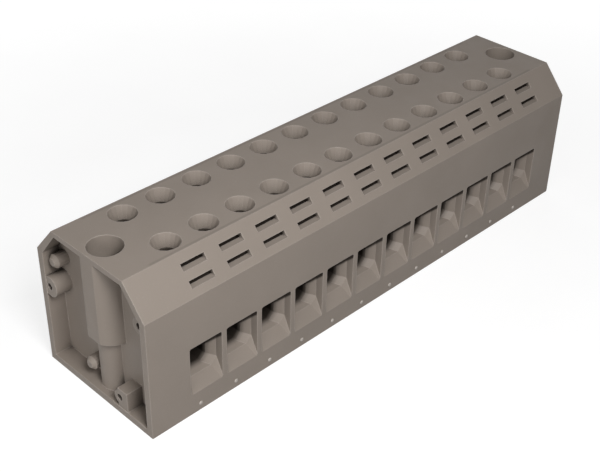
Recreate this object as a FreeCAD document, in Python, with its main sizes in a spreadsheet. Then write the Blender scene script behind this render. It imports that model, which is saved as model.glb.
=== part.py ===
import FreeCAD, Part
import os

import Sketcher

# Twelve-pole closed terminal block with two rows of rising-cage clamps.
# X runs along the block, Y from the front wire entries to the back ones, Z up.
# The origin is at the middle of the underside. The block is the same after half a turn about Z.

os.makedirs("parts", exist_ok=True)

SIZES = {
    # Housing outline
    "pitch": 12.0,
    "poles": 12,
    "end_margin": 5.4,
    "base_width": 42.8,
    "top_width": 27.8,
    "body_height": 44.4,
    "side_height": 35.8,
    # Screwdriver funnels
    "row_offset": 8.4,
    "funnel_radius": 3.9,
    "throat_radius": 2.5,
    "funnel_depth": 3.5,
    # Wire entries
    "window_width": 10.4,
    "window_height": 14.75,
    "window_base": 6.35,
    "window_shift": 0.55,
    "window_depth": 2.4,
    "guide_depth": 2.3,
    "wire_height": 14.6,
    "wire_bore": 4.0,
    "bore_corner": 1.7,
    "mouth_corner": 0.35,
    "guide_base": 9.9,
    "guide_corner": 1.9,
    # Marker pockets in the sloping shoulders
    "marker_length": 7.3,
    "marker_shift": 1.9,
    "marker_height": 1.95,
    "marker_high_place": 2.8,
    "marker_low_place": 7.3,
    "marker_shelf": 1.0,
    "marker_lip": 0.25,
    "slit_width": 0.75,
    "slit_high_depth": 2.8,
    "slit_low_depth": 2.2,
    # Open ends
    "end_depth": 5.1,
    "side_wall": 2.0,
    "end_floor": 2.0,
    "top_wall": 1.5,
    # Mounting columns
    "mount_inset": 5.8,
    "column_radius": 6.25,
    "counterbore_radius": 4.6,
    "foot_radius": 4.1,
    "mount_radius": 2.15,
    "ledge_height": 18.6,
    "ledge_wall": 2.0,
    # Locating pegs and sockets in the ends
    "upper_peg_side": 17.0,
    "upper_peg_height": 32.9,
    "lower_peg_side": 5.0,
    "lower_peg_height": 7.1,
    "peg_radius": 2.0,
    "peg_bevel": 0.9,
    "peg_setback": 1.0,
    "upper_socket_side": 17.2,
    "upper_socket_height": 32.3,
    "upper_socket_wall": 1.3,
    "upper_socket_setback": 1.3,
    "socket_radius": 1.0,
    "socket_depth": 3.4,
    "block_side": 7.7,
    "block_width": 3.8,
    "block_height": 7.9,
    "lower_socket_side": 8.4,
    "lower_socket_height": 5.1,
    "lower_socket_wall": 1.1,
    "screw_boss_side": 18.1,
    "screw_boss_height": 25.2,
    "screw_boss_radius": 3.0,
    # Current bars
    "bar_width": 5.4,
    "bar_thickness": 2.0,
    "bar_fit": 0.02,
    # Clamp cages
    "cage_width": 8.4,
    "cage_depth": 7.0,
    "cage_wall": 1.2,
    "nut_thickness": 3.0,
    "jaw_gap": 8.3,
    "closed_gap": 0.3,
    "cage_clearance": 0.3,
    "seat_gap": 0.1,
    # Clamp screws
    "shank_radius": 2.0,
    "thread_fit": 0.05,
    "head_radius": 3.2,
    "head_height": 2.4,
    "head_gap": 0.4,
    # Base closing strip
    "strip_thickness": 2.8,
    "strip_fit": 0.05,
    "fin_clearance": 0.15,
}

# Heights and spans that several pieces share, worked out from the driving sizes
DERIVED = {
    "cage_travel": "sizes.jaw_gap - sizes.closed_gap",
    "half_length": "(sizes.poles + 1) * sizes.pitch / 2 + sizes.end_margin",
    "mount_place": "(sizes.poles + 1) * sizes.pitch / 2 + sizes.end_margin - sizes.mount_inset",
    "first_pole": "-(sizes.poles - 1) * sizes.pitch / 2",
    "bar_underside": "sizes.wire_height + sizes.jaw_gap / 2",
    "bar_top": "sizes.wire_height + sizes.jaw_gap / 2 + sizes.bar_thickness",
    "nut_underside": "sizes.wire_height + sizes.jaw_gap / 2 + sizes.bar_thickness + sizes.seat_gap",
    "jaw_top": "sizes.wire_height - sizes.jaw_gap / 2",
    "screw_tip": "sizes.wire_height + sizes.jaw_gap / 2 + sizes.bar_thickness + sizes.seat_gap",
    "head_underside": "sizes.wire_height + sizes.jaw_gap / 2 + sizes.bar_thickness + sizes.seat_gap"
                      " + sizes.nut_thickness + {cage_travel} + sizes.head_gap",
    "well_top": "sizes.wire_height + sizes.jaw_gap / 2 + sizes.bar_thickness + sizes.seat_gap"
                " + sizes.nut_thickness + {cage_travel} + 2 * sizes.head_gap + sizes.head_height",
    "well_half_width": "sizes.cage_width / 2 + sizes.cage_clearance",
    "well_half_depth": "sizes.cage_depth / 2 + sizes.cage_clearance",
    "web_half": "sizes.row_offset - sizes.cage_depth / 2 - sizes.cage_clearance",
}

# Small round forms that repeat are drawn with this many flat sides
FUNNEL_SIDES = 16
PEG_SIDES = 16
SOCKET_SIDES = 12
HEAD_SIDES = 10
THREAD_SIDES = 8

doc = FreeCAD.newDocument("terminal_block")

sheet = doc.addObject("Spreadsheet::Sheet", "sizes")
for row, (alias, value) in enumerate(SIZES.items(), start=1):
    sheet.set(f"A{row}", alias)
    sheet.set(f"B{row}", str(value))
    sheet.setAlias(f"B{row}", alias)
doc.recompute()


def text(expression):
    """Writes derived names out in terms of the sheet's cells."""
    while "{" in expression:
        for name, meaning in DERIVED.items():
            expression = expression.replace("{" + name + "}", "(" + meaning + ")")
    return expression


def value(expression):
    return float(sheet.evalExpression(text(expression)))


def bind(thing, prop, expression):
    thing.setExpression(prop, text(expression))


def origin_part(body, role):
    for feature in body.Origin.OriginFeatures:
        if feature.Role == role:
            return feature
    raise ValueError("no origin feature " + role)


def new_body(label):
    body = doc.addObject("PartDesign::Body", label)
    body.Label = label
    return body


def new_sketch(body, name, plane, across="0", up="0", out="0"):
    """A sketch on one of the body's own planes, moved by expressions."""
    sketch = body.newObject("Sketcher::SketchObject", name)
    sketch.AttachmentSupport = [(origin_part(body, plane), "")]
    sketch.MapMode = "FlatFace"
    for axis, expression in zip("xyz", (across, up, out)):
        if expression != "0":
            bind(sketch, ".AttachmentOffset.Base." + axis, expression)
    return sketch


def pin_point(sketch, geometry, point, across, up):
    """Holds one point of a sketch at two expressions."""
    if across == "0":
        sketch.addConstraint(Sketcher.Constraint("PointOnObject", geometry, point, -2))
    else:
        number = sketch.addConstraint(
            Sketcher.Constraint("DistanceX", -1, 1, geometry, point, value(across)))
        bind(sketch, f"Constraints[{number}]", across)
    if up == "0":
        sketch.addConstraint(Sketcher.Constraint("PointOnObject", geometry, point, -1))
    else:
        number = sketch.addConstraint(
            Sketcher.Constraint("DistanceY", -1, 1, geometry, point, value(up)))
        bind(sketch, f"Constraints[{number}]", up)


def polygon(sketch, corners):
    """A closed outline through corners given as pairs of expressions."""
    places = [FreeCAD.Vector(value(a), value(b), 0) for a, b in corners]
    lines = []
    for start, end in zip(places, places[1:] + places[:1]):
        lines.append(sketch.addGeometry(Part.LineSegment(start, end), False))
    for line, following in zip(lines, lines[1:] + lines[:1]):
        sketch.addConstraint(Sketcher.Constraint("Coincident", line, 2, following, 1))
    for line, (across, up) in zip(lines, corners):
        pin_point(sketch, line, 1, across, up)


def rectangle(sketch, left, right, low, high):
    polygon(sketch, [(left, low), (right, low), (right, high), (left, high)])


def circle(sketch, across, up, radius):
    centre = FreeCAD.Vector(value(across), value(up), 0)
    ring = sketch.addGeometry(
        Part.Circle(centre, FreeCAD.Vector(0, 0, 1), value(radius)), False)
    number = sketch.addConstraint(Sketcher.Constraint("Radius", ring, value(radius)))
    bind(sketch, f"Constraints[{number}]", radius)
    pin_point(sketch, ring, 3, across, up)


def cornered(sketch, left, right, low, high, corner):
    """A rectangle with its corners cut off, starting at the lower left."""
    polygon(sketch, [
        (f"{left} + {corner}", low),
        (f"{right} - {corner}", low),
        (right, f"{low} + {corner}"),
        (right, f"{high} - {corner}"),
        (f"{right} - {corner}", high),
        (f"{left} + {corner}", high),
        (left, f"{high} - {corner}"),
        (left, f"{low} + {corner}"),
    ])


def many_sided(sketch, sides, radius, across="0", up="0"):
    """An even-sided outline with its corners on a circle."""
    corners = []
    for corner in range(sides):
        angle = (corner + 0.5) * 360 / sides
        corners.append((f"{across} + ({radius}) * cos({angle} deg)", f"{up} + ({radius}) * sin({angle} deg)"))
    polygon(sketch, corners)


def pad(body, name, sketch, length, middle=False, back=False):
    feature = body.newObject("PartDesign::Pad", name)
    feature.Profile = sketch
    bind(feature, "Length", length)
    feature.Midplane = middle
    feature.Reversed = back
    return feature


def pocket(body, name, sketch, length, middle=False, back=False):
    feature = body.newObject("PartDesign::Pocket", name)
    feature.Profile = sketch
    bind(feature, "Length", length)
    feature.Midplane = middle
    feature.Reversed = back
    return feature


def hollow(body, name, outlines, kind="Subtractive"):
    """Straight-sided form through several outlines with the same number of corners."""
    feature = body.newObject(f"PartDesign::{kind}Loft", name)
    feature.Profile = outlines[0]
    feature.Sections = outlines[1:]
    feature.Ruled = True
    return feature


def half_turn(body, name, originals):
    pattern = body.newObject("PartDesign::PolarPattern", name)
    pattern.Originals = originals
    pattern.Axis = (origin_part(body, "Z_Axis"), [""])
    pattern.Angle = 360
    pattern.Occurrences = 2
    body.Tip = pattern
    return pattern


def along_poles(body, name, originals):
    pattern = body.newObject("PartDesign::LinearPattern", name)
    pattern.Originals = originals
    pattern.Direction = (origin_part(body, "X_Axis"), [""])
    bind(pattern, "Length", "(sizes.poles - 1) * sizes.pitch")
    bind(pattern, "Occurrences", "sizes.poles")
    body.Tip = pattern
    return pattern


def along_both_rows(body, name, originals):
    """Repeats front features at every pole and, turned half round, along the back."""
    pattern = body.newObject("PartDesign::MultiTransform", name)
    pattern.Originals = originals
    row = doc.addObject("PartDesign::LinearPattern", name + "_row")
    row.Direction = (origin_part(body, "X_Axis"), [""])
    bind(row, "Length", "(sizes.poles - 1) * sizes.pitch")
    bind(row, "Occurrences", "sizes.poles")
    body.addObject(row)
    turn = doc.addObject("PartDesign::PolarPattern", name + "_turn")
    turn.Axis = (origin_part(body, "Z_Axis"), [""])
    turn.Angle = 360
    turn.Occurrences = 2
    body.addObject(turn)
    pattern.Transformations = [row, turn]
    body.Tip = pattern
    return pattern


def make_housing():
    body = new_body("housing")
    half_base = "sizes.base_width / 2"
    half_top = "sizes.top_width / 2"

    outline = new_sketch(body, "outline", "YZ_Plane")
    polygon(outline, [
        ("-" + half_base, "0"),
        (half_base, "0"),
        (half_base, "sizes.side_height"),
        (half_top, "sizes.body_height"),
        ("-" + half_top, "sizes.body_height"),
        ("-" + half_base, "sizes.side_height"),
    ])
    pad(body, "moulding", outline, "2 * {half_length}", middle=True)

    # Open end: a shallow tray with thin rims
    inner = new_sketch(body, "end_outline", "YZ_Plane", out="-{half_length}")
    wall = "sizes.side_wall"
    rim = "(sizes.body_height - sizes.top_wall)"
    polygon(inner, [
        (f"-({half_base} - {wall})", "sizes.end_floor"),
        (f"{half_base} - {wall}", "sizes.end_floor"),
        (f"{half_base} - {wall}", "sizes.side_height - sizes.top_wall / 2"),
        (f"{half_top} - sizes.top_wall / 2", rim),
        (f"-({half_top} - sizes.top_wall / 2)", rim),
        (f"-({half_base} - {wall})", "sizes.side_height - sizes.top_wall / 2"),
    ])
    tray = pocket(body, "end_tray", inner, "sizes.end_depth", back=True)

    # Mounting column, wide above its ledge and narrow below, with a flat where it meets the end plane
    wide = new_sketch(body, "column_plan", "XY_Plane", out="sizes.ledge_height")
    circle(wide, "-{mount_place}", "0", "sizes.column_radius")
    column = pad(body, "column", wide, f"{rim} - sizes.ledge_height + sizes.top_wall / 2")
    beyond = new_sketch(body, "end_plane_plan", "XY_Plane", out="sizes.body_height")
    rectangle(beyond, "-({half_length} + sizes.column_radius)", "-{half_length}",
              "-sizes.column_radius", "sizes.column_radius")
    flat = pocket(body, "column_flat", beyond, "sizes.body_height")
    narrow = new_sketch(body, "foot_plan", "XY_Plane")
    circle(narrow, "-{mount_place}", "0", "sizes.foot_radius")
    foot = pad(body, "column_foot", narrow, "sizes.ledge_height")

    # Locating pegs with bevelled ends
    ends = [tray, column, flat, foot]
    pegs = {"upper_peg": ("sizes.upper_peg_side", "sizes.upper_peg_height"),
            "lower_peg": ("sizes.lower_peg_side", "sizes.lower_peg_height")}
    tip = "-{half_length} + sizes.peg_setback"
    stages = {"root": ("-{half_length} + sizes.end_depth + 0.5", "sizes.peg_radius"),
              "bevel": (tip + " + sizes.peg_bevel", "sizes.peg_radius"),
              "tip": (tip, "sizes.peg_radius - sizes.peg_bevel")}
    for name, (side, height) in pegs.items():
        outlines = []
        for stage, (place, radius) in stages.items():
            outline = new_sketch(body, f"{name}_{stage}", "YZ_Plane", across=side, up=height, out=place)
            many_sided(outline, PEG_SIDES, radius)
            outlines.append(outline)
        ends.append(hollow(body, name, outlines, kind="Additive"))

    # Sockets: a ring in the shoulder corner, a ring against a square block on the floor, a boss on the wall
    ring = new_sketch(body, "ring_plan", "YZ_Plane", out="-{half_length} + sizes.end_depth + 0.2")
    circle(ring, "-sizes.upper_socket_side", "sizes.upper_socket_height",
           "sizes.socket_radius + sizes.upper_socket_wall")
    ends.append(pad(body, "ring_boss", ring, "sizes.end_depth - sizes.upper_socket_setback", back=True))
    square = new_sketch(body, "block_plan", "YZ_Plane", out="-{half_length} + sizes.end_depth + 0.2")
    rectangle(square, "-(sizes.block_side + sizes.block_width)", "-sizes.block_side",
              "sizes.end_floor - 0.2", "sizes.block_height")
    ends.append(pad(body, "square_block", square, "sizes.end_depth", back=True))
    low_ring = new_sketch(body, "low_ring_plan", "YZ_Plane", out="-{half_length} + sizes.end_depth + 0.2")
    circle(low_ring, "-sizes.lower_socket_side", "sizes.lower_socket_height",
           "sizes.socket_radius + sizes.lower_socket_wall")
    ends.append(pad(body, "low_ring_boss", low_ring, "sizes.end_depth", back=True))
    boss = new_sketch(body, "boss_plan", "YZ_Plane", out="-{half_length} + sizes.end_depth + 0.2")
    circle(boss, "sizes.screw_boss_side", "sizes.screw_boss_height", "sizes.screw_boss_radius")
    ends.append(pad(body, "screw_boss", boss, "sizes.end_depth", back=True))
    holes = new_sketch(body, "socket_plan", "YZ_Plane", out="-{half_length}")
    for side, height in (("-sizes.upper_socket_side", "sizes.upper_socket_height"),
                         ("-sizes.lower_socket_side", "sizes.lower_socket_height"),
                         ("sizes.screw_boss_side", "sizes.screw_boss_height")):
        many_sided(holes, SOCKET_SIDES, "sizes.socket_radius", side, height)
    ends.append(pocket(body, "sockets", holes, "sizes.socket_depth", back=True))

    # Mounting hole: clear hole below, counterbore for the screw head above
    through = new_sketch(body, "mount_plan", "XY_Plane", out="sizes.body_height")
    circle(through, "-{mount_place}", "0", "sizes.mount_radius")
    ends.append(pocket(body, "mount_hole", through, "sizes.body_height"))
    wide_hole = new_sketch(body, "counterbore_plan", "XY_Plane", out="sizes.body_height")
    circle(wide_hole, "-{mount_place}", "0", "sizes.counterbore_radius")
    ends.append(pocket(body, "counterbore", wide_hole,
                       "sizes.body_height - sizes.ledge_height - sizes.ledge_wall"))
    half_turn(body, "both_ends", ends)

    # Seat of the base strip
    seat = new_sketch(body, "seat_plan", "XY_Plane", out="sizes.strip_thickness")
    rectangle(seat, "-sizes.poles * sizes.pitch / 2", "sizes.poles * sizes.pitch / 2",
              f"-({half_base} - {wall})", f"{half_base} - {wall}")
    pocket(body, "strip_seat", seat, "sizes.strip_thickness")

    # Slot in the middle web that takes a current bar from below
    slot = new_sketch(body, "bar_slot_plan", "XY_Plane", across="{first_pole}", out="{bar_top}")
    rectangle(slot, "-(sizes.bar_width / 2 + sizes.bar_fit)", "sizes.bar_width / 2 + sizes.bar_fit",
              "-({web_half} + 0.5)", "{web_half} + 0.5")
    bar_slot = pocket(body, "bar_slot", slot, "{bar_top}")
    along_poles(body, "bar_slots", [bar_slot])

    features = []

    # Funnel and throat over each clamp screw
    levels = {"rim": ("sizes.body_height", "sizes.funnel_radius"),
              "neck": ("sizes.body_height - sizes.funnel_depth", "sizes.throat_radius"),
              "throat": ("{well_top} - 0.5", "sizes.throat_radius")}
    outlines = []
    for level, (height, radius) in levels.items():
        outline = new_sketch(body, "funnel_" + level, "XY_Plane", across="{first_pole}",
                             up="-sizes.row_offset", out=height)
        many_sided(outline, FUNNEL_SIDES, radius)
        outlines.append(outline)
    features.append(hollow(body, "funnel", outlines))

    # Well that the clamp cage slides in
    well = new_sketch(body, "well_plan", "XY_Plane", across="{first_pole}", out="{well_top}")
    rectangle(well, "-{well_half_width}", "{well_half_width}",
              "-(sizes.row_offset + {well_half_depth})", "-{web_half}")
    features.append(pocket(body, "well", well, "{well_top}"))

    # Wire entry: straight-sided mouth over a ramp, guide narrowing to an eight-sided bore, bore into the well
    left = "sizes.window_shift - sizes.window_width / 2"
    right = "sizes.window_shift + sizes.window_width / 2"
    window_top = "sizes.window_base + sizes.window_height"
    window = (left, right, "sizes.window_base", window_top, "sizes.mouth_corner")
    inner_window = (left, right, "sizes.guide_base", window_top, "sizes.guide_corner")
    bore = ("-sizes.wire_bore", "sizes.wire_bore", "sizes.wire_height - sizes.wire_bore",
            "sizes.wire_height + sizes.wire_bore", "sizes.bore_corner")
    guide_start = half_base + " - sizes.window_depth"
    depths = {"mouth": (half_base, window),
              "guide_start": (guide_start, inner_window),
              "guide_end": (guide_start + " - sizes.guide_depth", bore),
              "bore_end": ("sizes.row_offset", bore)}
    outlines = []
    for place, (distance, shape) in depths.items():
        outline = new_sketch(body, "wire_" + place, "XZ_Plane", across="{first_pole}", out=distance)
        cornered(outline, *shape)
        outlines.append(outline)
    features.append(hollow(body, "wire_entry", outlines))

    # Marker pockets: a sloping shelf with a deep slit along its upper edge
    run = "(sizes.base_width - sizes.top_width) / 2"
    drop = "(sizes.body_height - sizes.side_height)"
    slope = f"sqrt(({run}) ^ 2 + {drop} ^ 2)"
    markers = new_sketch(body, "marker_profile", "YZ_Plane", out="{first_pole} + sizes.marker_shift")
    rows = {"high": ("sizes.marker_high_place", "sizes.slit_high_depth"),
            "low": ("sizes.marker_low_place", "sizes.slit_low_depth")}
    for place, depth in rows.values():
        corners = []
        for distance, sink in ((place, "-0.3"), (place, depth),
                               (f"({place} + sizes.slit_width)", depth),
                               (f"({place} + sizes.slit_width)", "sizes.marker_shelf"),
                               (f"({place} + sizes.marker_height)", "sizes.marker_lip"),
                               (f"({place} + sizes.marker_height)", "-0.3")):
            across = f"-({half_top} + {distance} * ({run}) / {slope} - {sink} * {drop} / {slope})"
            up = f"sizes.body_height - {distance} * {drop} / {slope} - {sink} * ({run}) / {slope}"
            corners.append((across, up))
        polygon(markers, corners)
    features.append(pocket(body, "markers", markers, "sizes.marker_length", middle=True))
    along_both_rows(body, "clamp_openings", features)

    return body


def make_base_strip():
    body = new_body("base_strip")
    half_span = "(sizes.poles * sizes.pitch / 2 - sizes.strip_fit)"
    half_width = "(sizes.base_width / 2 - sizes.side_wall - sizes.strip_fit)"
    plan = new_sketch(body, "strip_plan", "XY_Plane")
    rectangle(plan, "-" + half_span, half_span, "-" + half_width, half_width)
    pad(body, "strip", plan, "sizes.strip_thickness")

    # Fins that hold the current bars up in their slots
    fin = new_sketch(body, "fin_plan", "XY_Plane", across="{first_pole}", out="sizes.strip_thickness - 0.1")
    half_fin = "(sizes.bar_width / 2 - sizes.fin_clearance)"
    rectangle(fin, "-" + half_fin, half_fin, "-({web_half} - sizes.fin_clearance)",
              "{web_half} - sizes.fin_clearance")
    one_fin = pad(body, "fin", fin, "{bar_underside} - sizes.strip_thickness + 0.1")
    along_poles(body, "fins", [one_fin])
    return body


def make_current_bars():
    bars = []
    reach = "(sizes.row_offset + sizes.cage_depth / 2)"
    for pole in range(int(sheet.poles)):
        bar = doc.addObject("Part::Box", f"bar_{pole + 1:02d}")
        bind(bar, "Length", "sizes.bar_width")
        bind(bar, "Width", "2 * " + reach)
        bind(bar, "Height", "sizes.bar_thickness")
        bind(bar, ".Placement.Base.x", "{first_pole} + " + f"{pole} * sizes.pitch - sizes.bar_width / 2")
        bind(bar, ".Placement.Base.y", "-" + reach)
        bind(bar, ".Placement.Base.z", "{bar_underside}")
        bars.append(bar)
    group = doc.addObject("Part::Compound", "current_bars")
    group.Label = "current_bars"
    group.Links = bars
    return group


def make_screw(label, across, along):
    body = new_body(label)
    shank_length = "({head_underside} - {screw_tip})"
    plan = new_sketch(body, label + "_shank_plan", "XY_Plane")
    circle(plan, "0", "0", "sizes.shank_radius")
    pad(body, label + "_shank", plan, shank_length)
    top = new_sketch(body, label + "_head_plan", "XY_Plane", out=shank_length)
    many_sided(top, HEAD_SIDES, "sizes.head_radius")
    pad(body, label + "_head", top, "sizes.head_height")
    bind(body, ".Placement.Base.x", across)
    bind(body, ".Placement.Base.y", along)
    bind(body, ".Placement.Base.z", "{screw_tip}")
    return body


def make_cage(label, across, along):
    body = new_body(label)
    section = new_sketch(body, label + "_section", "XZ_Plane")
    half = "sizes.cage_width / 2"
    rectangle(section, "-" + half, half, "{jaw_top} - sizes.cage_wall",
              "{nut_underside} + sizes.nut_thickness")
    rectangle(section, f"-({half} - sizes.cage_wall)", f"{half} - sizes.cage_wall",
              "{jaw_top}", "{nut_underside}")
    pad(body, label + "_tunnel", section, "sizes.cage_depth", middle=True)
    tapped = new_sketch(body, label + "_nut_plan", "XY_Plane", out="{nut_underside} + sizes.nut_thickness")
    many_sided(tapped, THREAD_SIDES,
               f"(sizes.shank_radius + sizes.thread_fit) / cos({180 / THREAD_SIDES} deg)")
    pocket(body, label + "_nut", tapped, "sizes.nut_thickness")
    bind(body, ".Placement.Base.x", across)
    bind(body, ".Placement.Base.y", along)
    return body


def flat_faced(shape):
    """The lofts between straight outlines have flat sides, so each side becomes a plane."""
    faces = []
    for face in shape.Faces:
        if isinstance(face.Surface, Part.BSplineSurface):
            corners = [vertex.Point for vertex in face.OuterWire.OrderedVertexes]
            face = Part.Face(Part.makePolygon(corners + corners[:1]))
        faces.append(face)
    skin = Part.makeCompound(faces)
    skin.sewShape()
    return Part.Solid(skin)


housing = make_housing()
base_strip = make_base_strip()
current_bars = make_current_bars()
pieces = [housing, base_strip, current_bars]

for side, sign in (("front", "-"), ("back", "")):
    for pole in range(int(sheet.poles)):
        across = "{first_pole} + " + f"{pole} * sizes.pitch"
        along = sign + "sizes.row_offset"
        pieces.append(make_screw(f"clamp_screw_{side}_{pole + 1:02d}", across, along))
        pieces.append(make_cage(f"clamp_cage_{side}_{pole + 1:02d}", across, along))

doc.recompute()

for thing in doc.Objects:
    if "Invalid" in thing.State or "Error" in thing.State:
        raise RuntimeError(f"{thing.Label} did not build: {thing.State}")

for piece in pieces:
    shape = piece.Shape
    if piece is housing:
        shape = flat_faced(shape)
    if shape.isNull() or not shape.isValid():
        raise RuntimeError(f"{piece.Label} has no valid shape")
    shape.exportStep(f"parts/{piece.Label}.step")
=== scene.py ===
import math
import random

import bmesh
import bpy
from mathutils import Matrix, Vector


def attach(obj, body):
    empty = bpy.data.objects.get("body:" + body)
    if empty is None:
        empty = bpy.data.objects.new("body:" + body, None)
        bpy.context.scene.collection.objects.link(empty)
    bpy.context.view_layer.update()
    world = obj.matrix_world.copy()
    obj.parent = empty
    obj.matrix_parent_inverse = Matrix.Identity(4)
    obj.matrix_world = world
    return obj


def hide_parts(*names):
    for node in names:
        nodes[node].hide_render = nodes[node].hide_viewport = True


MM = 0.001

# Terminal block, in millimetres, as in the CAD source
POLES = 12
PITCH = 12.0
ROW_OFFSET = 8.4        # from the middle plane to a row of clamps
WALL = 21.4             # from the middle plane to a long side
TOP_HALF = 13.9         # from the middle plane to the upper edge of a shoulder
TOP_HEIGHT = 44.4
SIDE_HEIGHT = 35.8      # to the lower edge of a shoulder
SCREW_TIP = 20.85
HEAD_UNDERSIDE = 32.25
HEAD_HEIGHT = 2.4
HEAD_RADIUS = 3.2
SHANK_RADIUS = 2.0

# Clamp screws, in millimetres. The thread is drawn a little coarser than the 0.7 mm a turn of the joints.
THREAD_PITCH = 0.8
THREAD_ROOT = 1.66
THREAD_CREST = SHANK_RADIUS - 0.02
THREAD_PROFILE = ((THREAD_ROOT, 0.0), (THREAD_CREST, 0.34), (THREAD_CREST, 0.46))
THREAD_START = 0.3      # above the tip
THREAD_PLAIN = 0.6      # length without thread
THREAD_STEPS = 20       # in a turn
HEAD_STEPS = 48         # in a turn
SLOT_SIZE = (0.9, 2 * HEAD_RADIUS + 1, 2.4)
CROSS_SIZE = (3.6, 0.9, 3.0)
SLOT_TURN = 0.5         # radians that a slot may be turned either way at rest
WELD_DISTANCE = 1e-7    # metres

# Pole marks on the long sides, in millimetres
PIP_RADIUS = 0.62
PIP_FLATTENING = 0.55   # share of the radius that is left across the wall
PIP_HEIGHT = 2.1
PIP_SINK = 0.06         # of the centre, into the wall
PIP_SHIFT = 1.8         # along the block, from the middle of the pole
PIP_SEGMENTS = 20
PIP_RINGS = 12

# Looks: edges painted lighter as a highlight and painted shade in hollows, with lengths in millimetres and
# noise scales per metre
PAINTED_SHADE_ON_PLASTIC = (0.012, 0.009, 0.007)
PAINTED_SHADE_ON_METAL = (0.03, 0.026, 0.02)
EDGE_HIGHLIGHT_RADIUS = 0.45
EDGE_HIGHLIGHT_SHARE = 0.9
HOLLOW_REACH = 9
HOLLOW_RANGE = (0.40, 0.12)         # share of open sky, from lit to dark
OVERHANG_REACH = 2.2
OVERHANG_SHARE = 0.9
SHADE_SHARE = 0.95
CLOUD_SCALE = 45
SPECK_SCALE = 2600
GLOSS_SCALE = 160
GRAIN_SCALE = 5200
PLASTIC_IOR = 1.49
SPECULAR_RANGE = (0.18, 0.01)       # from lit to dark
METAL_HOLLOW_REACH = 20
METAL_HOLLOW_RANGE = (0.30, 0.05)
METAL_STAIN_SCALE = 260
METAL_SMOOTHER = 0.06
METAL_ROUGHER = 0.1
METAL_PAINTED_SHADE_SHARE = 0.9
METAL_GRAIN_SCALE = 900
METAL_EDGE_RADIUS = 0.15

# Masks for the painted shade in the wire passages and marker slits, in millimetres as (outside, inside)
ALONG_POLES = (75.5, 74.5)
PASSAGE_DEPTH = (17.6, 15.4)
PASSAGE_HEIGHT = (26.0, 22.0)
EAVES_DEPTH = (21.37, 21.2)
EAVES_HEIGHT = (21.4, 21.2)
EAVES_EDGE = (19.5, 20.1)
EAVES_SLOPE = 0.97
EAVES_SHARE = 0.9
SLIT_UPPER_END = (12.7, 13.1)
SLIT_LOWER_END = (20.6, 20.2)
SLIT_HEIGHT = (30.0, 33.0)
SLIT_DEPTH = (0.8, 1.5)
SHELF_LOWER_END = (21.2, 21.0)
SHELF_HEIGHT = (35.0, 36.0)
SHELF_DEPTH = (0.12, 0.3)
SHELF_SHARE = 0.16

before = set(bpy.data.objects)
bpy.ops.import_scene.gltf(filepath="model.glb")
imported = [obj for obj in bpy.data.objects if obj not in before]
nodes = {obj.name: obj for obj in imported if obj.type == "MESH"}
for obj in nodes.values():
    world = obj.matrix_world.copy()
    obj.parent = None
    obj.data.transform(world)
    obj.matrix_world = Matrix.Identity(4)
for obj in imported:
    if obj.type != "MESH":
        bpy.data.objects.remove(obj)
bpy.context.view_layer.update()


# Shader node helpers
def new_material(name):
    material = bpy.data.materials.new(name)
    material.use_nodes = True
    tree = material.node_tree
    tree.nodes.clear()
    out = tree.nodes.new("ShaderNodeOutputMaterial")
    shader = tree.nodes.new("ShaderNodeBsdfPrincipled")
    tree.links.new(shader.outputs["BSDF"], out.inputs["Surface"])
    return material, tree, shader


def ramp(tree, source, low, high, dark, light):
    """Maps a value from low..high to dark..light."""
    node = tree.nodes.new("ShaderNodeMapRange")
    node.inputs["From Min"].default_value = low
    node.inputs["From Max"].default_value = high
    node.inputs["To Min"].default_value = dark
    node.inputs["To Max"].default_value = light
    tree.links.new(source, node.inputs["Value"])
    return node.outputs["Result"]


def noise(tree, scale, detail, stretch=(1, 1, 1)):
    """Noise in object space, from 0 to 1."""
    place = tree.nodes.new("ShaderNodeTexCoord")
    mapping = tree.nodes.new("ShaderNodeMapping")
    mapping.inputs["Scale"].default_value = stretch
    texture = tree.nodes.new("ShaderNodeTexNoise")
    texture.inputs["Scale"].default_value = scale
    texture.inputs["Detail"].default_value = detail
    tree.links.new(place.outputs["Object"], mapping.inputs["Vector"])
    tree.links.new(mapping.outputs["Vector"], texture.inputs["Vector"])
    return texture.outputs["Fac"]


def blend_colours(tree, factor, first, second):
    """Mixes two colours, each a tuple or a socket."""
    node = tree.nodes.new("ShaderNodeMix")
    node.data_type = "RGBA"
    tree.links.new(factor, node.inputs["Factor"])
    for socket, colour in (("A", first), ("B", second)):
        target = [i for i in node.inputs if i.name == socket and i.type == "RGBA"][0]
        if isinstance(colour, tuple):
            target.default_value = (*colour, 1)
        else:
            tree.links.new(colour, target)
    return [o for o in node.outputs if o.type == "RGBA"][0]


def maths(tree, operation, first, second):
    """One sum on two values, each a number or a socket."""
    node = tree.nodes.new("ShaderNodeMath")
    node.operation = operation
    for index, value in enumerate((first, second)):
        if isinstance(value, (int, float)):
            node.inputs[index].default_value = value
        else:
            tree.links.new(value, node.inputs[index])
    return node.outputs[0]


def edge_amount(tree, radius):
    """Near 1 where the surface bends sharply within the radius, 0 on flats."""
    rounded = tree.nodes.new("ShaderNodeBevel")
    rounded.samples = 4
    rounded.inputs["Radius"].default_value = radius
    plain = tree.nodes.new("ShaderNodeNewGeometry")
    dot = tree.nodes.new("ShaderNodeVectorMath")
    dot.operation = "DOT_PRODUCT"
    tree.links.new(rounded.outputs["Normal"], dot.inputs[0])
    tree.links.new(plain.outputs["Normal"], dot.inputs[1])
    return ramp(tree, dot.outputs["Value"], 1.0, 0.8, 0.0, 1.0)


def hollow_amount(tree, distance, sky_range):
    """Near 1 deep inside narrow hollows, 0 on open surfaces."""
    shade = tree.nodes.new("ShaderNodeAmbientOcclusion")
    shade.samples = 8
    shade.inputs["Distance"].default_value = distance
    return ramp(tree, shade.outputs["AO"], *sky_range, 0.0, 1.0)


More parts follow.
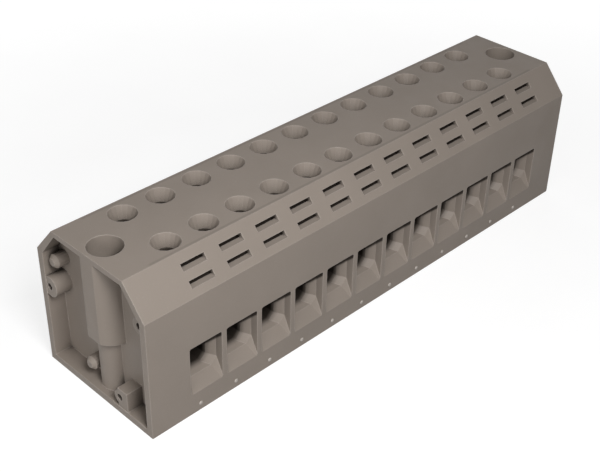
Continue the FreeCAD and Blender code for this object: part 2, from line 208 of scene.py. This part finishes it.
def overhang_amount(tree, distance):
    """Near 1 on what lies right under a ledge or rim, 0 under the open sky."""
    plain = tree.nodes.new("ShaderNodeNewGeometry")
    tilt = tree.nodes.new("ShaderNodeVectorMath")
    tilt.operation = "MULTIPLY_ADD"
    tree.links.new(plain.outputs["Normal"], tilt.inputs[0])
    tilt.inputs[1].default_value = (0.5, 0.5, 0.5)
    tilt.inputs[2].default_value = (0, 0, 0.8)
    even = tree.nodes.new("ShaderNodeVectorMath")
    even.operation = "NORMALIZE"
    tree.links.new(tilt.outputs["Vector"], even.inputs[0])
    above = tree.nodes.new("ShaderNodeAmbientOcclusion")
    above.samples = 8
    above.inputs["Distance"].default_value = distance
    tree.links.new(even.outputs["Vector"], above.inputs["Normal"])
    parts = tree.nodes.new("ShaderNodeSeparateXYZ")
    tree.links.new(plain.outputs["Normal"], parts.inputs["Vector"])
    upright = ramp(tree, parts.outputs["Z"], -0.3, -0.05, 0.0, 1.0)
    return maths(tree, "MULTIPLY", upright, ramp(tree, above.outputs["AO"], 0.5, 0.25, 0.0, 1.0))


def within(tree, *limits):
    """1 where each value is past the inner end of its (outside, inside) range in millimetres, 0 outside."""
    amount = None
    for value, (outside, inside) in limits:
        share = ramp(tree, value, outside * MM, inside * MM, 0.0, 1.0)
        amount = share if amount is None else maths(tree, "MULTIPLY", amount, share)
    return amount


def passage_amount(tree):
    """Near 1 inside the wire passages and marker slits, where painted shade goes, 0 on all that lies nearer to
    the outside.
    """
    place = tree.nodes.new("ShaderNodeTexCoord")
    parts = tree.nodes.new("ShaderNodeSeparateXYZ")
    tree.links.new(place.outputs["Object"], parts.inputs["Vector"])
    across = maths(tree, "ABSOLUTE", parts.outputs["X"], 0.0)
    out = maths(tree, "ABSOLUTE", parts.outputs["Y"], 0.0)
    height = parts.outputs["Z"]
    wires = within(tree, (across, ALONG_POLES), (out, PASSAGE_DEPTH), (height, PASSAGE_HEIGHT))

    # Painted shadow: a dark line under the upper edge of each wire entry
    inward = maths(tree, "SUBTRACT", WALL * MM, out)
    under = maths(tree, "ADD", height, maths(tree, "MULTIPLY", inward, EAVES_SLOPE))
    eaves = within(tree, (across, ALONG_POLES), (out, EAVES_DEPTH), (height, EAVES_HEIGHT), (under, EAVES_EDGE))
    wires = maths(tree, "MAXIMUM", wires, maths(tree, "MULTIPLY", eaves, EAVES_SHARE))

    # Depth below the shoulder's plane tells the marker slits from the shoulder
    drop = TOP_HEIGHT - SIDE_HEIGHT
    run = WALL - TOP_HALF
    slope = math.hypot(drop, run)
    surface = (TOP_HALF * drop + TOP_HEIGHT * run) / slope * MM
    reach = maths(tree, "ADD", maths(tree, "MULTIPLY", out, drop / slope),
                  maths(tree, "MULTIPLY", height, run / slope))
    depth = maths(tree, "SUBTRACT", surface, reach)
    # Painted shade: the slits turn near black
    slits = within(tree, (across, ALONG_POLES), (out, SLIT_UPPER_END), (out, SLIT_LOWER_END),
                   (height, SLIT_HEIGHT), (depth, SLIT_DEPTH))
    # Lighter painted shade on the shelves below the slits
    shelves = within(tree, (across, ALONG_POLES), (out, SLIT_UPPER_END), (out, SHELF_LOWER_END),
                     (height, SHELF_HEIGHT), (depth, SHELF_DEPTH))
    slits = maths(tree, "MAXIMUM", slits, maths(tree, "MULTIPLY", shelves, SHELF_SHARE))
    return maths(tree, "MAXIMUM", wires, slits)


def moulded_plastic(name, base, dark, light, round_radius, gloss=(0.44, 0.54), passages=False):
    """Matt moulded plastic: faint clouding, fine spark-eroded grain, edges painted a little lighter as a
    highlight, painted shade in hollows and under ledges.
    """
    material, tree, shader = new_material(name)
    cloud = ramp(tree, noise(tree, CLOUD_SCALE, 4), 0.3, 0.7, 0.0, 1.0)
    colour = blend_colours(tree, cloud, dark, base)
    speck = ramp(tree, noise(tree, SPECK_SCALE, 2), 0.6, 0.76, 0.0, 0.12)
    colour = blend_colours(tree, speck, colour, light)
    # Painted highlight: edges within the radius turn lighter
    edge_highlight = maths(tree, "MULTIPLY", edge_amount(tree, EDGE_HIGHLIGHT_RADIUS * MM), EDGE_HIGHLIGHT_SHARE)
    colour = blend_colours(tree, edge_highlight, colour, light)
    # Painted shade: darker colour in hollows, under ledges and rims, and in the wire passages and marker slits
    shade = maths(tree, "MAXIMUM", hollow_amount(tree, HOLLOW_REACH * MM, HOLLOW_RANGE),
                  maths(tree, "MULTIPLY", overhang_amount(tree, OVERHANG_REACH * MM), OVERHANG_SHARE))
    if passages:
        shade = maths(tree, "MAXIMUM", shade, passage_amount(tree))
    colour = blend_colours(tree, maths(tree, "MULTIPLY", shade, SHADE_SHARE), colour, PAINTED_SHADE_ON_PLASTIC)
    tree.links.new(colour, shader.inputs["Base Color"])
    tree.links.new(ramp(tree, noise(tree, GLOSS_SCALE, 3), 0.3, 0.7, *gloss), shader.inputs["Roughness"])
    shader.inputs["IOR"].default_value = PLASTIC_IOR
    tree.links.new(ramp(tree, shade, 0.0, 1.0, *SPECULAR_RANGE), shader.inputs["Specular IOR Level"])
    soft = tree.nodes.new("ShaderNodeBevel")
    soft.samples = 6
    soft.inputs["Radius"].default_value = round_radius
    grain = tree.nodes.new("ShaderNodeBump")
    grain.inputs["Strength"].default_value = 0.12
    grain.inputs["Distance"].default_value = 0.03 * MM
    tree.links.new(noise(tree, GRAIN_SCALE, 3), grain.inputs["Height"])
    tree.links.new(soft.outputs["Normal"], grain.inputs["Normal"])
    tree.links.new(grain.outputs["Normal"], shader.inputs["Normal"])
    return material


def plated_metal(name, base, dark, roughness, grain_stretch):
    """Plated metal with drawn or turned marks along one direction."""
    material, tree, shader = new_material(name)
    stain = ramp(tree, noise(tree, METAL_STAIN_SCALE, 4), 0.35, 0.75, 0.0, 1.0)
    colour = blend_colours(tree, stain, base, dark)
    # Painted shade: darker colour in hollows
    hollow = hollow_amount(tree, METAL_HOLLOW_REACH * MM, METAL_HOLLOW_RANGE)
    painted_shade = maths(tree, "MULTIPLY", hollow, METAL_PAINTED_SHADE_SHARE)
    colour = blend_colours(tree, painted_shade, colour, PAINTED_SHADE_ON_METAL)
    tree.links.new(colour, shader.inputs["Base Color"])
    shader.inputs["Metallic"].default_value = 1.0
    marks = noise(tree, METAL_GRAIN_SCALE, 3, grain_stretch)
    gloss = ramp(tree, marks, 0.3, 0.7, roughness - METAL_SMOOTHER, roughness + METAL_ROUGHER)
    tree.links.new(gloss, shader.inputs["Roughness"])
    soft = tree.nodes.new("ShaderNodeBevel")
    soft.samples = 4
    soft.inputs["Radius"].default_value = METAL_EDGE_RADIUS * MM
    bump = tree.nodes.new("ShaderNodeBump")
    bump.inputs["Strength"].default_value = 0.25
    bump.inputs["Distance"].default_value = 0.02 * MM
    tree.links.new(marks, bump.inputs["Height"])
    tree.links.new(soft.outputs["Normal"], bump.inputs["Normal"])
    tree.links.new(bump.outputs["Normal"], shader.inputs["Normal"])
    return material


# Materials
housing_plastic = moulded_plastic("housing_plastic", (0.285, 0.243, 0.209), (0.262, 0.224, 0.192),
                                  (0.41, 0.36, 0.32), 0.28 * MM, passages=True)
strip_plastic = moulded_plastic("strip_plastic", (0.25, 0.213, 0.183), (0.225, 0.192, 0.165),
                                (0.34, 0.30, 0.27), 0.2 * MM)
# The pips get a lighter plastic, which also stands in for the highlights on them: partly painted highlight
pip_plastic = moulded_plastic("pip_plastic", (0.46, 0.42, 0.38), (0.42, 0.38, 0.34),
                              (0.6, 0.56, 0.52), 0.1 * MM, (0.26, 0.32))
cage_steel = plated_metal("cage_steel", (0.58, 0.55, 0.47), (0.42, 0.41, 0.37), 0.34, (1, 12, 1))
screw_steel = plated_metal("screw_steel", (0.56, 0.56, 0.55), (0.40, 0.40, 0.40), 0.28, (1, 1, 14))
bar_metal = plated_metal("bar_metal", (0.74, 0.57, 0.30), (0.56, 0.41, 0.22), 0.30, (14, 1, 1))


def dress(node, material):
    """Gives a solid its material."""
    slots = nodes[node].data.materials
    slots.clear()
    slots.append(material)


dress("housing", housing_plastic)
dress("base_strip", strip_plastic)
dress("current_bars", bar_metal)
for side in ("front", "back"):
    for number in range(1, POLES + 1):
        dress(f"clamp_cage_{side}_{number:02d}", cage_steel)
        dress(f"clamp_screw_{side}_{number:02d}", screw_steel)


# Pieces that the solids leave out
def object_from(name, mesh, material):
    mesh.materials.clear()
    mesh.materials.append(material)
    made = bpy.data.objects.new(name, mesh)
    bpy.context.scene.collection.objects.link(made)
    return made


def on_circle(radius, angle, height):
    """A point in metres from a radius, an angle and a height in millimetres."""
    return radius * MM * math.cos(angle), radius * MM * math.sin(angle), height * MM


def lathe(name, profile, steps):
    """A closed surface of revolution about Z from (radius, height) pairs in millimetres."""
    shape = bmesh.new()
    rings = []
    for radius, height in profile:
        if radius == 0:
            rings.append([shape.verts.new((0, 0, height * MM))])
            continue
        ring = []
        for step in range(steps):
            angle = 2 * math.pi * step / steps
            ring.append(shape.verts.new(on_circle(radius, angle, height)))
        rings.append(ring)
    for lower, upper in zip(rings, rings[1:]):
        for step in range(steps):
            after = (step + 1) % steps
            if len(lower) == 1:
                shape.faces.new((lower[0], upper[after], upper[step]))
            elif len(upper) == 1:
                shape.faces.new((lower[step], lower[after], upper[0]))
            else:
                shape.faces.new((lower[step], lower[after], upper[after], upper[step]))
    bmesh.ops.recalc_face_normals(shape, faces=shape.faces)
    mesh = bpy.data.meshes.new(name)
    shape.to_mesh(mesh)
    shape.free()
    return mesh


def smooth(mesh, angle):
    """Smooth shading, with edges over the angle in degrees left sharp."""
    for face in mesh.polygons:
        face.use_smooth = True
    mesh.set_sharp_from_angle(angle=math.radians(angle))


def cutter_box(size, centre):
    """A box that is cut away, given in millimetres."""
    shape = bmesh.new()
    bmesh.ops.create_cube(shape, size=1.0)
    bmesh.ops.scale(shape, vec=Vector(size) * MM, verts=shape.verts)
    bmesh.ops.translate(shape, vec=Vector(centre) * MM, verts=shape.verts)
    mesh = bpy.data.meshes.new("cutter")
    shape.to_mesh(mesh)
    shape.free()
    cutter = bpy.data.objects.new("cutter", mesh)
    bpy.context.scene.collection.objects.link(cutter)
    return cutter


def cut_away(target, cutters):
    """Takes the cutters out of the target, removes them and gives back the new mesh."""
    for cutter in cutters:
        modifier = target.modifiers.new("cut", "BOOLEAN")
        modifier.operation = "DIFFERENCE"
        modifier.solver = "EXACT"
        modifier.object = cutter
    bpy.context.view_layer.update()
    done = bpy.data.meshes.new_from_object(target.evaluated_get(bpy.context.evaluated_depsgraph_get()))
    target.modifiers.clear()
    target.data = done
    for cutter in cutters:
        bpy.data.objects.remove(cutter)
    return done


def screw_mesh():
    """Clamp screw: rolled thread, fillister head with a combined slot and cross recess."""
    head_top = HEAD_UNDERSIDE + HEAD_HEIGHT
    head = lathe("screw_head", [
        (0, HEAD_UNDERSIDE),
        (HEAD_RADIUS - 0.15, HEAD_UNDERSIDE),
        (HEAD_RADIUS, HEAD_UNDERSIDE + 0.15),
        (HEAD_RADIUS, head_top - 0.45),
        (HEAD_RADIUS - 0.12, head_top - 0.2),
        (HEAD_RADIUS - 0.4, head_top - 0.04),
        (HEAD_RADIUS - 0.8, head_top),
        (0, head_top),
    ], HEAD_STEPS)
    holder = object_from("screw_head_maker", head, screw_steel)
    slot = cutter_box(SLOT_SIZE, (0, 0, head_top))
    cross = cutter_box(CROSS_SIZE, (0, 0, head_top))
    head = cut_away(holder, (slot, cross))
    smooth(head, 35)
    shape = bmesh.new()
    shape.from_mesh(head)
    bpy.data.objects.remove(holder)

    # Thread: a ridge that climbs one pitch each turn
    turns = int((HEAD_UNDERSIDE - SCREW_TIP - THREAD_PLAIN) / THREAD_PITCH)
    rows = [(radius, turn * THREAD_PITCH + rise) for turn in range(turns) for radius, rise in THREAD_PROFILE]
    rings = []
    for radius, rise in rows:
        ring = []
        for step in range(THREAD_STEPS + 1):
            angle = 2 * math.pi * step / THREAD_STEPS
            height = SCREW_TIP + THREAD_START + rise + THREAD_PITCH * (step / THREAD_STEPS) - THREAD_PITCH / 2
            height = min(max(height, SCREW_TIP), HEAD_UNDERSIDE)
            ring.append(shape.verts.new(on_circle(radius, angle, height)))
        rings.append(ring)
    for lower, upper in zip(rings, rings[1:]):
        for step in range(THREAD_STEPS):
            shape.faces.new((lower[step], lower[step + 1], upper[step + 1], upper[step]))
    tip = shape.verts.new((0, 0, SCREW_TIP * MM))
    for step in range(THREAD_STEPS):
        shape.faces.new((tip, rings[0][step + 1], rings[0][step]))
    bmesh.ops.remove_doubles(shape, verts=shape.verts, dist=WELD_DISTANCE)
    mesh = bpy.data.meshes.new("clamp_screw")
    shape.to_mesh(mesh)
    shape.free()
    smooth(mesh, 40)
    return mesh


shared_screw = screw_mesh()
draws = random.Random(7)
for side, sign in (("front", -1), ("back", 1)):
    for number in range(1, POLES + 1):
        name = f"clamp_screw_{side}_{number:02d}"
        screw = object_from(f"threaded_screw_{side}_{number:02d}", shared_screw, screw_steel)
        across = (number - (POLES + 1) / 2) * PITCH * MM
        screw.matrix_world = (Matrix.Translation((across, sign * ROW_OFFSET * MM, 0))
                              @ Matrix.Rotation(draws.uniform(-SLOT_TURN, SLOT_TURN), 4, "Z"))
        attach(screw, name)
        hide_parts(name)


def pip_row(name, sign):
    """Small rounded pole marks low on one long wall."""
    shape = bmesh.new()
    for number in range(POLES):
        across = (number - (POLES - 1) / 2) * PITCH + sign * PIP_SHIFT
        place = Vector((across, sign * (WALL - PIP_SINK), PIP_HEIGHT)) * MM
        made = bmesh.ops.create_uvsphere(shape, u_segments=PIP_SEGMENTS, v_segments=PIP_RINGS,
                                         radius=PIP_RADIUS * MM)
        bmesh.ops.scale(shape, vec=(1, PIP_FLATTENING, 1), verts=made["verts"])
        bmesh.ops.translate(shape, vec=place, verts=made["verts"])
    mesh = bpy.data.meshes.new(name)
    shape.to_mesh(mesh)
    shape.free()
    smooth(mesh, 80)
    row = object_from(name, mesh, pip_plastic)
    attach(row, "block")


pip_row("pole_pips_front", -1)
pip_row("pole_pips_back", 1)

# Floor and lamps
FLOOR_SIZE = 3.0                # metres
FLOOR_DROP = 0.05               # millimetres, so that the floor and the underside don't share a plane
FLOOR_TONES = (0.27, 0.29)
GLOW_REACH = (0.10, 0.34)       # metres from the middle
GLOW_STRENGTH = (0.80, 1.0)
ROOM_STRENGTH = 0.06
BACKGROUND_STRENGTH = 1.0


def background_rays(tree):
    """1 for the rays that show the background, seen directly or in a reflection."""
    path = tree.nodes.new("ShaderNodeLightPath")
    seen = maths(tree, "MAXIMUM", path.outputs["Is Camera Ray"], path.outputs["Is Glossy Ray"])
    return maths(tree, "MAXIMUM", seen, path.outputs["Is Transmission Ray"])


def make_floor():
    """A sheet of paper that glows more the farther it is from the block, so that it joins the background."""
    mesh = bpy.data.meshes.new("floor")
    half = FLOOR_SIZE / 2
    low = -FLOOR_DROP * MM
    corners = [(-half, -half, low), (half, -half, low), (half, half, low), (-half, half, low)]
    mesh.from_pydata(corners, [], [(0, 1, 2, 3)])
    floor = bpy.data.objects.new("floor", mesh)
    bpy.context.scene.collection.objects.link(floor)
    material = bpy.data.materials.new("floor_paper")
    material.use_nodes = True
    tree = material.node_tree
    tree.nodes.clear()
    out = tree.nodes.new("ShaderNodeOutputMaterial")
    paper = tree.nodes.new("ShaderNodeBsdfDiffuse")
    tree.links.new(ramp(tree, noise(tree, 30, 2), 0.3, 0.7, *FLOOR_TONES), paper.inputs["Color"])
    glow = tree.nodes.new("ShaderNodeEmission")
    place = tree.nodes.new("ShaderNodeTexCoord")
    reach = tree.nodes.new("ShaderNodeVectorMath")
    reach.operation = "LENGTH"
    tree.links.new(place.outputs["Object"], reach.inputs[0])
    lightness = ramp(tree, reach.outputs["Value"], *GLOW_REACH, *GLOW_STRENGTH)
    tree.links.new(maths(tree, "MULTIPLY", background_rays(tree), lightness), glow.inputs["Strength"])
    both = tree.nodes.new("ShaderNodeAddShader")
    tree.links.new(paper.outputs["BSDF"], both.inputs[0])
    tree.links.new(glow.outputs["Emission"], both.inputs[1])
    tree.links.new(both.outputs["Shader"], out.inputs["Surface"])
    mesh.materials.append(material)


make_floor()


def area_light(name, place, target, size, power):
    """A lamp that the camera doesn't see, with its size in metres and its power in watts."""
    data = bpy.data.lights.new(name, "AREA")
    data.shape = "RECTANGLE"
    data.size = size[0]
    data.size_y = size[1]
    data.energy = power
    lamp = bpy.data.objects.new(name, data)
    lamp.location = place
    lamp.rotation_euler = (Vector(target) - Vector(place)).to_track_quat("-Z", "Y").to_euler()
    lamp.visible_camera = False
    bpy.context.scene.collection.objects.link(lamp)
    return lamp


area_light("key_light", (-0.128, -0.205, 0.25), (-0.05, 0, 0.03), (0.10, 0.10), 0.85)
area_light("end_light", (-0.42, -0.10, 0.12), (-0.08, 0, 0.02), (0.25, 0.25), 0.60)
back_light = area_light("back_light", (0.36, 0.42, 0.08), (0, 0, 0.02), (0.5, 0.15), 1.5)
back_light.visible_glossy = False

world = bpy.data.worlds.new("studio")
bpy.context.scene.world = world
world.use_nodes = True
tree = world.node_tree
tree.nodes.clear()
out = tree.nodes.new("ShaderNodeOutputWorld")
room = tree.nodes.new("ShaderNodeBackground")
room.inputs["Color"].default_value = (1, 1, 1, 1)
room.inputs["Strength"].default_value = ROOM_STRENGTH
paper = tree.nodes.new("ShaderNodeBackground")
paper.inputs["Color"].default_value = (1, 1, 1, 1)
paper.inputs["Strength"].default_value = BACKGROUND_STRENGTH
mix = tree.nodes.new("ShaderNodeMixShader")
tree.links.new(background_rays(tree), mix.inputs["Fac"])
tree.links.new(room.outputs["Background"], mix.inputs[1])
tree.links.new(paper.outputs["Background"], mix.inputs[2])
tree.links.new(mix.outputs["Shader"], out.inputs["Surface"])

# Camera, from the perspective fit to the photograph
VIEW_AZIMUTH = math.radians(45.572)
VIEW_ELEVATION = math.radians(34.573)
VIEW_ROLL = math.radians(1.280)
VIEW_TARGET = Vector((0.4150, 1.3519, 0.0)) * PITCH * MM
VIEW_DISTANCE = 29.0487 * PITCH * MM
LENS = 67.13

camera_data = bpy.data.cameras.new("camera")
camera_data.sensor_width = 36.0
camera_data.lens = LENS
camera_data.clip_start = 0.01
camera = bpy.data.objects.new("camera", camera_data)
bpy.context.scene.collection.objects.link(camera)
toward = -Vector((-math.sin(VIEW_AZIMUTH) * math.cos(VIEW_ELEVATION),
                  -math.cos(VIEW_AZIMUTH) * math.cos(VIEW_ELEVATION),
                  math.sin(VIEW_ELEVATION)))
right = toward.cross(Vector((0, 0, 1))).normalized()
up = right.cross(toward).normalized()
rolled_right = math.cos(VIEW_ROLL) * right + math.sin(VIEW_ROLL) * up
rolled_up = -math.sin(VIEW_ROLL) * right + math.cos(VIEW_ROLL) * up
place = VIEW_TARGET - toward * VIEW_DISTANCE
camera.matrix_world = Matrix((
    (rolled_right.x, rolled_up.x, -toward.x, place.x),
    (rolled_right.y, rolled_up.y, -toward.y, place.y),
    (rolled_right.z, rolled_up.z, -toward.z, place.z),
    (0, 0, 0, 1),
))
bpy.context.scene.camera = camera
bpy.context.scene.view_settings.view_transform = "Standard"
